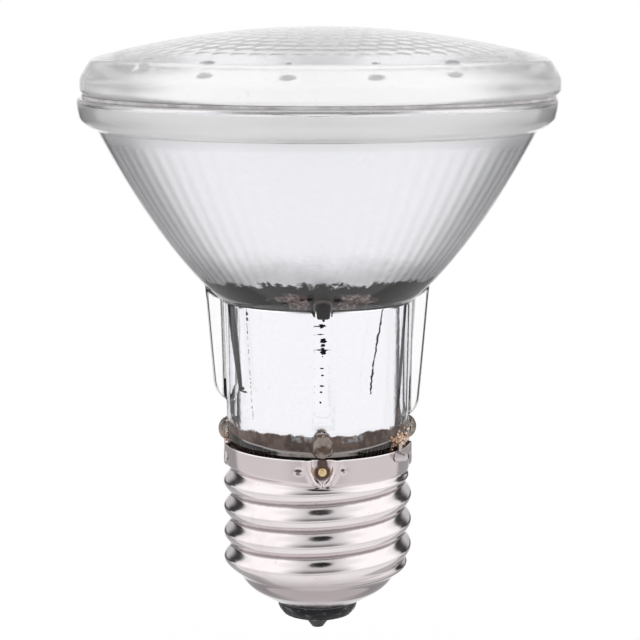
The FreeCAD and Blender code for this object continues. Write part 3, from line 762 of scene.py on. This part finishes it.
NODE_LOOKS = [
    (TUNGSTEN, ["filament", "lower_filament_lead", "upper_filament_lead"]),
    (TUNGSTEN, ["foil_left", "foil_right"]),
    (WIRE, ["burner_pin_left", "burner_pin_right", "side_lead", "centre_lead", "contact_lead"]),
    (CERAMIC, ["fuse", "lead_sleeve"]),
    (QUARTZ, ["burner_envelope"]),
    (CEMENT, ["neck_cement"]),
    (SEAL, ["rim_seal"]),
    (SOLDER, ["side_solder"]),
    (CONTACT, ["centre_contact"]),
    (TARNISH_AND_SHADE, ["contact_solder"]),
    (BROWN, ["cap_cement"]),
    (BRASS, ["stake_pins"]),
    (NICKEL, ["screw_shell"]),
    (BLACK, ["insulator"]),
    (FILM, ["reflector"]),
    (LENS_GLASS, ["lens"]),
]
for look, node_names in NODE_LOOKS:
    for node_name in node_names:
        node_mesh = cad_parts[node_name].data
        if not node_mesh.materials:
            node_mesh.materials.append(look)
        for index in range(len(node_mesh.materials)):
            node_mesh.materials[index] = look


# Reflector: one glass body whose inside faces carry the film

def bowl_radius(height):
    return math.sqrt(4.0 * FOCAL * (height - VERTEX))


def mirror_radius(height):
    slope = 2.0 * FOCAL / bowl_radius(height)
    return bowl_radius(height) - WALL * math.hypot(1.0, slope)


def blend(first, second, reach):
    """The larger of two radii, with a fillet between them."""
    return reach * np.logaddexp(first / reach, second / reach)


def rib_radius(theta, height, azimuth, foot_height):
    """Radius of a rib's surface, well inside the neck beside the rib."""
    tip = RIB_BOTTOM[0] + (RIB_TOP[0] - RIB_BOTTOM[0]) * (
        (height - RIB_BOTTOM[1]) / (RIB_TOP[1] - RIB_BOTTOM[1])
    )
    above = (height - foot_height) / (2.0 * RIB_HALF)
    if above <= 0.0:
        return np.zeros(theta.shape)
    if above < 1.0:
        tip -= RIB_NOSE * (1.0 - math.sqrt(1.0 - (1.0 - above) ** 2))
    across = np.abs(tip * np.sin(angle_from(theta, azimuth))) / RIB_HALF
    near = np.abs(angle_from(theta, azimuth)) < 0.5
    round_edge = RIB_HALF * (1.0 - np.sqrt(np.clip(1.0 - across ** 2, 0.0, 1.0)))
    side = np.clip(across - 0.86, 0.0, None) * 14.0
    return np.where(near, np.clip(tip - np.minimum(round_edge, RIB_HALF) - side, 0.0, None), 0.0)


def foot_radius(theta, height, azimuth):
    """Radius of a round foot's surface, or 0 beside the foot."""
    across = FOOT_CENTRE[0] * angle_from(theta, azimuth) / FOOT_WIDTH
    away = across ** 2 + ((height - FOOT_CENTRE[1]) / FOOT_BALL) ** 2
    bulge = 1.5 * np.sqrt(np.clip(1.0 - away, 0.0, None))
    return np.where(away < 1.0, FOOT_CENTRE[0] + bulge, 0.0)


def glass_outside(row, theta):
    """Outer radius with the ribs and feet on the neck."""
    radius = np.full(theta.shape, row[0])
    height = row[1]
    if CAP_RIM_HEIGHT < height < RIB_TOP[1] + 2.0:
        for azimuth, foot_height in zip(LUG_AZIMUTHS, RIB_FEET):
            fin = rib_radius(theta, height, azimuth, foot_height)
            radius = np.where(fin > radius - 1.5, blend(radius, fin, 0.16), radius)
            radius = np.maximum(radius, foot_radius(theta, height, azimuth))
    return radius


def glass_inside(row, theta):
    """Inner radius with the flutes in the bowl."""
    share = smooth(np.array(row[1]), *FLUTE_ENDS[0])
    share = share * (1.0 - smooth(np.array(row[1]), *FLUTE_ENDS[1]))
    wave = 0.5 - 0.5 * np.cos(theta * FLUTES)
    return row[0] + FLUTE_DEPTH * share * wave


def outside_profile():
    """Down the outside, from the joint with the lens to the foot of the neck."""
    flange = rounded([
        (mirror_radius(JOINT), JOINT),
        (32.5, JOINT, 0.5),
        (32.5, 73.4, 0.4),
        (32.15, 71.7, 0.5),
        (31.2, 70.9, 0.3),
        (bowl_radius(FLANGE_FOOT), FLANGE_FOOT, 0.3),
        (bowl_radius(69.6), 69.6),
    ], 6)
    heights = np.linspace(70.3, NECK_TOP_HEIGHT + 0.6, 37)
    bowl = [(bowl_radius(z), z) for z in heights if z < 69.5]
    neck = rounded([
        (NECK_TOP + 0.1, NECK_TOP_HEIGHT + 0.3),
        (NECK_TOP, NECK_TOP_HEIGHT, 0.2),
        (NECK_BASE, CAP_RIM_HEIGHT + 0.5, 0.4),
        (SKIRT, CAP_RIM_HEIGHT + 0.05, 0.15),
        (SKIRT, NECK_FOOT + 0.2),
    ], 4)
    return list(spaced(flange, 2.0)) + bowl + list(spaced(neck, 0.25))


def inside_profile():
    """Up the inside, which carries the film."""
    bore = (NECK_FOOT, NECK_FOOT + 0.5, 36.0, THROAT - 1.4, THROAT - 0.3)
    inside = [(BORE, z) for z in bore]
    inside += [(BORE + 0.2, THROAT), (mirror_radius(THROAT) - 0.2, THROAT)]
    film_heights = THROAT + (JOINT - THROAT) * np.linspace(0.0, 1.0, 44) ** 1.6
    return inside + [(mirror_radius(z), z) for z in film_heights[1:-1]]


# The materials of the reflector's faces
REFLECTOR_LOOKS = [BOWL_GLASS, FILM, RIB_GLASS, FOOT_GLASS, FRONT_GLASS, FLANGE_GLASS]
PLAIN, MIRROR, RIB, FOOT, FRONT, FLANGE = range(len(REFLECTOR_LOOKS))


def outside_looks(points, outline):
    """The material of each face of the outside, by how far it stands out and where."""
    columns = points.shape[1]
    theta = np.arange(columns) * TAU / columns
    radii = np.array([row[0] for row in outline])
    proud = np.hypot(points[:, :, 0], points[:, :, 1]) - radii[:, None]
    heights = points[:, :, 2]
    turned = np.abs(angle_from(np.arctan2(points[:, :, 1], points[:, :, 0]), FRONT_LUG))
    ribs = np.zeros(proud.shape, bool)
    for azimuth in LUG_AZIMUTHS:
        beside = np.abs(angle_from(theta, azimuth)) < RIB_SPREAD
        ribs |= beside[None, :] & (heights < RIB_CLEAR[1]) & (heights > RIB_CLEAR[0])
    looks = np.full(proud.shape, PLAIN)
    looks[(proud > 0.12) | ribs] = RIB
    front = turned < FRONT_SPREAD
    below = heights < NECK_TOP_HEIGHT - 0.2
    looks[(proud > 0.02) & front & below] = FRONT
    looks[front & ~below] = PLAIN
    looks[(proud > 0.05) & (heights < FOOT_CENTRE[1] + FOOT_BALL)] = FOOT
    looks[heights > FLANGE_FOOT] = FLANGE
    return looks


def reflector_piece():
    columns = 432
    outside = outside_profile()
    inside = inside_profile()
    points = np.concatenate([
        around(outside, columns, glass_outside),
        around(inside, columns, glass_inside),
    ])
    rows = len(outside) + len(inside)
    looks = np.full((rows, columns), PLAIN)
    looks[:len(outside)] = outside_looks(points[:len(outside)], outside)
    looks[len(outside):rows - 1] = MIRROR
    return add_piece(
        "reflector_glass", points.reshape(-1, 3), ring_faces(rows, columns, True),
        REFLECTOR_LOOKS, ["reflector"], looks.ravel().tolist(),
    )


# Lens

def dome_height(radius, crown):
    return crown - DOME_BALL + math.sqrt(DOME_BALL ** 2 - radius ** 2)


def lens_pattern(radius, theta):
    """Depth of the facets pressed into the inside of the lens, in rings."""
    ring = np.floor(radius / FACET_RING)
    middle = (ring + 0.5) * FACET_RING
    count = np.maximum(np.round(TAU * middle / FACET_WIDTH), 1.0)
    turn = (theta / TAU * count + 0.5 * (ring % 2)) % 1.0 - 0.5
    across = turn * 2.0
    along = (radius - middle) / FACET_RING * 2.0
    return FACET_DEPTH * np.clip(1.0 - across ** 2 - along ** 2, 0.0, 1.0)


def dot_height(radius, theta):
    """How far the dots stand out from the inside of the lens."""
    total = np.zeros(theta.shape)
    for index in range(DOTS):
        turn = angle_from(theta, DOT_TURN + index * 360.0 / DOTS)
        away = (DOT_RING * turn / DOT_HALF[0]) ** 2 + ((radius - DOT_RING) / DOT_HALF[1]) ** 2
        total = np.maximum(total, DOT_RISE * np.sqrt(np.clip(1.0 - away, 0.0, 1.0)))
    return total


def lens_piece():
    columns = 480
    side = rounded([
        (LENS_RECESS, LENS_FOOT),
        (31.9, LENS_FOOT, 0.2),
        (32.45, 75.5, 0.4),
        (32.45, 77.3, 0.6),
        (31.6, 78.7, 0.5),
        (30.95, 79.7, 0.4),
        (30.1, dome_height(30.1, LENS_CROWN), 0.3),
        (28.6, dome_height(28.6, LENS_CROWN)),
    ], 5)
    outer = list(spaced(side, 1.2))
    outer += [(r, dome_height(r, LENS_CROWN)) for r in np.linspace(28.0, 0.05, 26)]
    inner_crown = LENS_CROWN - LENS_WALL
    radii = np.concatenate([
        np.linspace(0.05, 25.4, 84), np.arange(25.6, 27.4, 0.11), np.linspace(27.5, 29.2, 6),
    ])
    drop = LENS_DROP * np.clip((radii - 20.0) / (LENS_RECESS - 20.0), 0.0, 1.0) ** 3.2
    inner = [(r, dome_height(r, inner_crown) - d) for r, d in zip(radii, drop)]
    theta = np.arange(columns) * TAU / columns
    points = around(outer + inner, columns, plain)
    dotted = np.zeros((len(outer) + len(inner), columns), int)
    for index in range(len(radii)):
        row = points[len(outer) + index]
        pattern = lens_pattern(np.full(columns, radii[index]), theta)
        pattern = pattern * (1.0 - smooth(radii[index], *FACETS_END))
        boss = dot_height(np.full(columns, radii[index]), theta)
        row[:, 2] += np.where(boss > 0.0, -boss, pattern)
        dotted[len(outer) + index] = boss > 0.012
    dotted[:len(outer)][[LENS_SIDE[0] < r and h < LENS_SIDE[1] for r, h in outer]] = 2
    points[:, :, 0] += LENS_SHIFT
    faces = ring_faces(len(outer) + len(inner), columns, True)
    return add_piece(
        "lens_glass", points.reshape(-1, 3), faces, [LENS_GLASS, DOT_GLASS, SIDE_GLASS],
        ["lens"], dotted.ravel().tolist(),
    )


# Screw cap

def front_turn(theta):
    """Degrees from the front, -180 to 180, seen from above against the clock."""
    return (theta * 180.0 / math.pi + 90.0 + 180.0) % 360.0 - 180.0


def thread_shape(theta, height):
    """0 in the root and 1 on the crest of the rolled thread."""
    crest = CREST_FRONT + PITCH * front_turn(theta) / 360.0
    phase = (height - crest) / PITCH
    return (0.5 + 0.5 * np.cos(TAU * phase)) ** 0.7


def cap_radius(row, theta):
    """The outside of the cap, with its thread, pockets and dents."""
    base, height = row
    zone = smooth(np.array(height), THREAD_FOOT - 1.0, THREAD_FOOT + 1.2)
    top = THREAD_TOP - PITCH * np.clip(front_turn(theta), -90.0, 90.0) / 360.0
    zone = zone * (1.0 - smooth(np.full(theta.shape, height), top - 0.3, top + 0.9))
    threaded = THREAD_ROOT + (THREAD_CREST - THREAD_ROOT) * thread_shape(theta, height)
    radius = base + (threaded - base) * zone
    if height > POCKET_FOOT - 1.0:
        for azimuth in LUG_AZIMUTHS:
            across = CAP_RIM * angle_from(theta, azimuth)
            near = np.abs(angle_from(theta, azimuth)) < 0.6
            half = np.interp(height, POCKET_SHAPE[0], POCKET_SHAPE[1])
            down = max(POCKET_SHAPE[0][0] - height, 0.0) * 1.3
            away = np.abs(across) - half + down
            press = POCKET_DEPTH * (1.0 - smooth(away, -0.55, 0.1))
            lip = POCKET_LIP[0] * np.exp(-((away - POCKET_LIP[1]) / POCKET_LIP[1]) ** 2)
            lip = lip * smooth(np.array(height), 23.0, 23.9)
            radius = np.where(near, radius - press + lip, radius)
            for side, level, deep in POCKET_DENTS:
                dent = (across - side) ** 2 + 1.6 * (height - level) ** 2
                radius = radius - np.where(near, deep * np.exp(-dent / 0.3), 0.0)
    return np.minimum(radius, THREAD_CREST + 0.02)


def collar_radius(height):
    share = (height - COLLAR_BASE) / (CAP_RIM_HEIGHT - COLLAR_BASE)
    return COLLAR_FOOT + (CAP_RIM - COLLAR_FOOT) * share


def collar_inside(row, theta):
    """The inside of the collar, one wall behind its outside."""
    return cap_radius((collar_radius(row[1]), row[1]), theta) - CAP_WALL


def cap_piece():
    barrel_foot = THREAD_FOOT + 0.6
    collar = [(CAP_RIM - 0.03, CAP_RIM_HEIGHT - 0.02), (CAP_RIM, CAP_RIM_HEIGHT - 0.1)]
    collar += [(collar_radius(height), height) for height in np.arange(26.85, 23.35, -0.12)]
    barrel = [(CAP_BARREL, height) for height in np.arange(23.3, barrel_foot, -0.1)]
    cone = rounded([
        (CAP_BARREL, barrel_foot),
        (12.2, 9.4, 0.5),
        (11.0, 8.35, 0.5),
        (9.95, 6.6, 1.3),
        (CAP_OPENING[0], CAP_OPENING[1], 0.12),
        (CAP_OPENING[0] - 0.4, CAP_OPENING[1] + 0.1),
    ], 6)
    cone = list(spaced(cone, 0.35))[1:]
    inside = [(5.8, 4.65), (9.5, 6.95), (10.65, 8.4), (11.8, 10.2), (11.8, 22.6)]
    back_heights = np.arange(23.3, 26.95, 0.25)
    outer = collar + barrel + cone
    columns = 400
    points = np.concatenate([
        around(outer, columns, cap_radius),
        around(inside, columns, plain),
        around([(0.0, z) for z in back_heights], columns, collar_inside),
    ])
    faces = ring_faces(len(outer) + len(inside) + len(back_heights), columns, True)
    return add_piece(
        "cap_shell", points.reshape(-1, 3), faces, [NICKEL], ["screw_shell"]
    )


def insulator_piece():
    outline = rounded([
        (1.0, 6.5), (9.3, 6.5, 0.1), (5.7, 4.3, 0.1), (5.6, 3.6, 0.4),
        (5.2, 2.6, 0.6), (4.75, 2.2, 0.3), (4.36, 2.2, 0.1), (4.36, 2.6), (1.0, 2.6),
    ], 5)

    def uneven(row, theta):
        chips = 0.03 * np.sin(7.0 * theta + row[1] * 3.0) + 0.02 * np.sin(23.0 * theta)
        return row[0] + chips * (1.0 if 2.3 < row[1] < 4.2 else 0.0)

    return lathe_piece(
        "insulator_glass", list(spaced(outline, 0.5)), 160, BLACK,
        ["insulator"], uneven,
    )


def pin_pieces():
    """Four rivets with worn, domed heads, in one piece."""
    head = rounded([
        (0.0, 0.42), (0.45, 0.40, 0.2), (0.66, 0.15, 0.15), (0.66, -1.2), (0.0, -1.2),
    ], 4)
    columns = 28
    vertices = []
    faces = []
    for azimuth in LUG_AZIMUTHS:
        angle = math.radians(azimuth)
        outward = np.array([math.cos(angle), math.sin(angle), 0.0])
        sideways = np.array([-math.sin(angle), math.cos(angle), 0.0])
        centre = outward * (CAP_RIM - POCKET_DEPTH) + np.array([0.0, 0.0, PIN_HEIGHT])
        start = len(vertices)
        for radius, rise in head:
            for step in range(columns):
                turn = step * TAU / columns
                spread = sideways * math.cos(turn) + np.array([0, 0, 1.0]) * math.sin(turn)
                vertices.append(centre + outward * rise + spread * max(radius, 0.002))
        ring = ring_faces(len(head), columns, False)
        faces += [tuple(i + start for i in face) for face in ring]
    return add_piece("pin_heads", vertices, faces, [BRASS], ["stake_pins"])


def cement_piece():
    """The joint between skirt and collar, rough on top."""
    outline = [
        (SKIRT, 24.4), (12.45, 24.4), (12.7, 26.2), (12.6, 26.62), (12.3, 26.75), (SKIRT, 26.7),
    ]

    def rough(row, theta):
        wave = np.sin(9 * theta) + np.sin(17 * theta + 1.0) + np.sin(41 * theta + 2.0)
        radius = row[0] + wave * (0.02 if 26.5 < row[1] else 0.0)
        if row[0] > SKIRT:
            for azimuth in LUG_AZIMUTHS:
                across = CAP_RIM * np.abs(angle_from(theta, azimuth))
                room = smooth(across, POCKET_HALF + 0.2, POCKET_HALF + 0.6)
                radius = SKIRT + 0.1 + (radius - SKIRT - 0.1) * room
        return radius

    return lathe_piece(
        "joint_cement", outline, 240, BROWN, ["cap_cement"], rough
    )


CRUMB_HEAPS = [(-27.0, 28.2, 90, 0.95), (-176.0, 27.8, 30, 0.6)]  # azimuth, height, count, spread


def crumb_pieces():
    """Crumbly residue where the side lead crosses the rim, and a thin smear by the left foot."""
    rng = np.random.default_rng(7)
    rings, sides = 5, 8
    vertices = []
    faces = []
    for at, level, count, spread in CRUMB_HEAPS:
        for _ in range(count):
            azimuth = math.radians(at) + rng.normal(0.0, spread / 10.5)
            height = level + rng.normal(0.0, spread * 0.6)
            height = float(np.clip(height, CAP_RIM_HEIGHT + 0.12, 30.2))
            size = rng.uniform(0.10, 0.24)
            radius = NECK_BASE + 0.02 * (height - CAP_RIM_HEIGHT) + rng.uniform(0.0, 0.35)
            centre = np.array([radius * math.cos(azimuth), radius * math.sin(azimuth), height])
            start = len(vertices)
            for i in range(rings + 1):
                for j in range(sides):
                    tilt = math.pi * i / rings
                    turn = TAU * j / sides
                    bump = size * (1.0 + 0.28 * rng.standard_normal() * math.sin(tilt))
                    vertices.append(centre + bump * np.array([
                        math.sin(tilt) * math.cos(turn),
                        math.sin(tilt) * math.sin(turn),
                        0.8 * math.cos(tilt),
                    ]))
            ring = ring_faces(rings + 1, sides, False)
            faces += [tuple(k + start for k in face) for face in ring]
    return add_piece("rim_crumbs", vertices, faces, [CRUMB])


reflector_piece()
lens_piece()
crumb_pieces()
cap_piece()
insulator_piece()
pin_pieces()
cement_piece()


# Studio

# Azimuths in degrees from the camera's side, both ways, and heights as the sine of the elevation
DARK_BAND = (131.0, 163.0)
DARK_TOP = 0.50
BEHIND = (133.0, 148.0)
BOX_SIDES = (44.0, 112.0)
BOX_TOP = 0.78
DIM_FRONT = (12.0, 48.0)
DIM_RISE = (0.30, 0.76)
CEILING_GAP = ((0.0, -0.42), (0.19, 0.14))  # middle and half widths, as x and y of the direction
VIEW_DIP = 0.16  # the camera looks down by this sine

# In metres
FLOOR_RADIUS = 0.6
FLOOR_HEIGHT = -0.1
LAMPS = [("left", (-0.62, -0.26, 0.46)), ("right", (0.60, -0.30, 0.44))]
LAMP_SIZE = 0.42
LAMP_POWER = 1.5
LAMP_AIM = (0.0, 0.0, 0.045)
CAMERA_PLACE = (0.00034, -0.2727, 0.08846)
CAMERA_TILT = 9.294  # degrees below the horizon
CAMERA_LENS = 112.47


def studio_azimuth(g, x, y):
    """Degrees from the camera's side, negative to the left, and positive to the right."""
    turned = g.math("ARCTAN2", x, g.times(y, -1.0))
    return g.times(turned, 180.0 / math.pi)


def dark_bands(g, turned, widened):
    """The unlit sides of the studio, behind the lamp; widened moves their front edges."""
    rise = g.minus(turned, g.minus(DARK_BAND[0], widened))
    fall = g.step(turned, DARK_BAND[1] - 4.0, DARK_BAND[1] + 4.0, 1.0, 0.0)
    return g.times(g.step(rise, -4.0, 4.0), fall)


def build_world():
    """Soft boxes to the sides, a dim front round the camera, and a gap in the ceiling."""
    world = bpy.data.worlds.new("studio")
    bpy.context.scene.world = world
    world.use_nodes = True
    g = Graph(world.node_tree)
    direction = g.add("ShaderNodeTexCoord").outputs["Generated"]
    x, y, z = g.add("ShaderNodeSeparateXYZ", {"Vector": direction}).outputs
    turned = g.math("ABSOLUTE", studio_azimuth(g, x, y))
    level = g.math("ABSOLUTE", g.plus(z, VIEW_DIP))

    bands = dark_bands(g, turned, g.step(level, 0.05, 0.14, 0.0, 11.0))
    bands = g.times(bands, g.window(z, -2.0, DARK_TOP, 0.12))
    behind = g.times(g.step(turned, *BEHIND), g.step(level, 0.05, 0.14))
    bands = g.times(bands, g.minus(1.0, g.times(behind, 0.62)))
    boxes = g.window(turned, *BOX_SIDES, 12.0)
    boxes = g.times(boxes, g.window(z, 0.0, BOX_TOP, 0.08))
    front = g.step(turned, *DIM_FRONT, 1.0, 0.0)
    front = g.times(front, g.step(z, -0.08, 0.02))
    dim = g.times(front, g.step(z, *DIM_RISE, 0.74, 0.30))
    middle, half = CEILING_GAP
    gap = g.spot(g.minus(x, middle[0]), g.minus(y, middle[1]), *half)
    gap = g.times(g.step(gap, 0.7, 1.3, 1.0, 0.0), g.step(z, 0.0, 0.2))

    light = g.plus(1.0, g.times(boxes, 0.28))
    light = g.minus(light, g.times(bands, 0.95))
    light = g.minus(light, dim)
    light = g.most(g.minus(light, gap), 0.02)
    seen = g.add("ShaderNodeLightPath").outputs["Is Camera Ray"]
    studio = g.add("ShaderNodeBackground", {"Color": light, "Strength": 1.0})
    white = g.add("ShaderNodeBackground", {"Color": colour(1, 1, 1), "Strength": 1.0})
    g.show("ShaderNodeOutputWorld", g.add("ShaderNodeMixShader", {
        0: seen, 1: studio.outputs[0], 2: white.outputs[0],
    }))


def floor_material():
    """Pale and matt, white far off, and darker where glass and metal mirror the dark bands."""
    material, g = new_material("floor")
    position, x, y, _ = g.place()
    turned = g.math("ABSOLUTE", studio_azimuth(g, x, y))
    distance = g.math("SQRT", g.plus(g.times(x, x), g.times(y, y)))
    bands = g.times(dark_bands(g, turned, 12.0), 0.45)
    shade = g.times(bands, g.step(distance, 0.02, 0.10))
    front = g.step(turned, *DIM_FRONT, 0.22, 0.0)
    front = g.times(front, g.window(distance, 0.17, 0.40, 0.03))
    far = g.plus(g.step(distance, 0.10, 0.40, 0.0, 0.12), front)

    paths = g.add("ShaderNodeLightPath").outputs
    mirrored = g.most(paths["Is Glossy Ray"], paths["Is Transmission Ray"])
    level = g.times(g.plus(shade, far), mirrored)
    level = g.math("SUBTRACT", 1.0, level, True)
    grain = g.noise(position, 90.0, 2.0)
    pale = g.mix(grain, colour(0.86, 0.86, 0.87), colour(0.90, 0.90, 0.90))
    matt = g.add("ShaderNodeBsdfDiffuse", {"Color": pale})
    bright = g.add("ShaderNodeEmission", {"Color": level, "Strength": 1.0})
    white = g.times(paths["Is Camera Ray"], g.step(distance, 0.16, 0.34))
    white = g.most(mirrored, white)
    g.show("ShaderNodeOutputMaterial", g.add("ShaderNodeMixShader", {
        0: white, 1: matt.outputs[0], 2: bright.outputs[0],
    }))
    return material


def build_floor():
    """A pale round floor well below the lamp, white where it meets the background."""
    mesh = bpy.data.meshes.new("floor")
    turns = [i * TAU / 64 for i in range(64)]
    rim = [
        (FLOOR_RADIUS * math.cos(turn), FLOOR_RADIUS * math.sin(turn), FLOOR_HEIGHT)
        for turn in turns
    ]
    mesh.from_pydata(rim, [], [tuple(range(len(rim)))])
    mesh.materials.append(floor_material())
    floor = bpy.data.objects.new("floor", mesh)
    bpy.context.scene.collection.objects.link(floor)


def add_lamp(name, place):
    """A soft square lamp that looks at the middle of the object and shows in no reflection."""
    data = bpy.data.lights.new(name, "AREA")
    data.shape = "SQUARE"
    data.size = LAMP_SIZE
    data.energy = LAMP_POWER
    lamp = bpy.data.objects.new(name, data)
    lamp.location = place
    aim = Vector(LAMP_AIM) - Vector(place)
    lamp.rotation_euler = aim.to_track_quat("-Z", "Y").to_euler()
    lamp.visible_glossy = False
    lamp.visible_transmission = False
    bpy.context.scene.collection.objects.link(lamp)


def build_camera():
    """The photograph's view: a long lens, a little above the lamp."""
    data = bpy.data.cameras.new("camera")
    data.sensor_width = 36.0
    data.lens = CAMERA_LENS
    data.clip_start = 0.01
    camera = bpy.data.objects.new("camera", data)
    camera.location = CAMERA_PLACE
    camera.rotation_euler = (math.radians(90.0 - CAMERA_TILT), 0.0, 0.0)
    bpy.context.scene.collection.objects.link(camera)
    bpy.context.scene.camera = camera


build_world()
build_floor()
for lamp_name, lamp_place in LAMPS:
    add_lamp(lamp_name, lamp_place)
build_camera()
bpy.context.scene.view_settings.view_transform = "Standard"
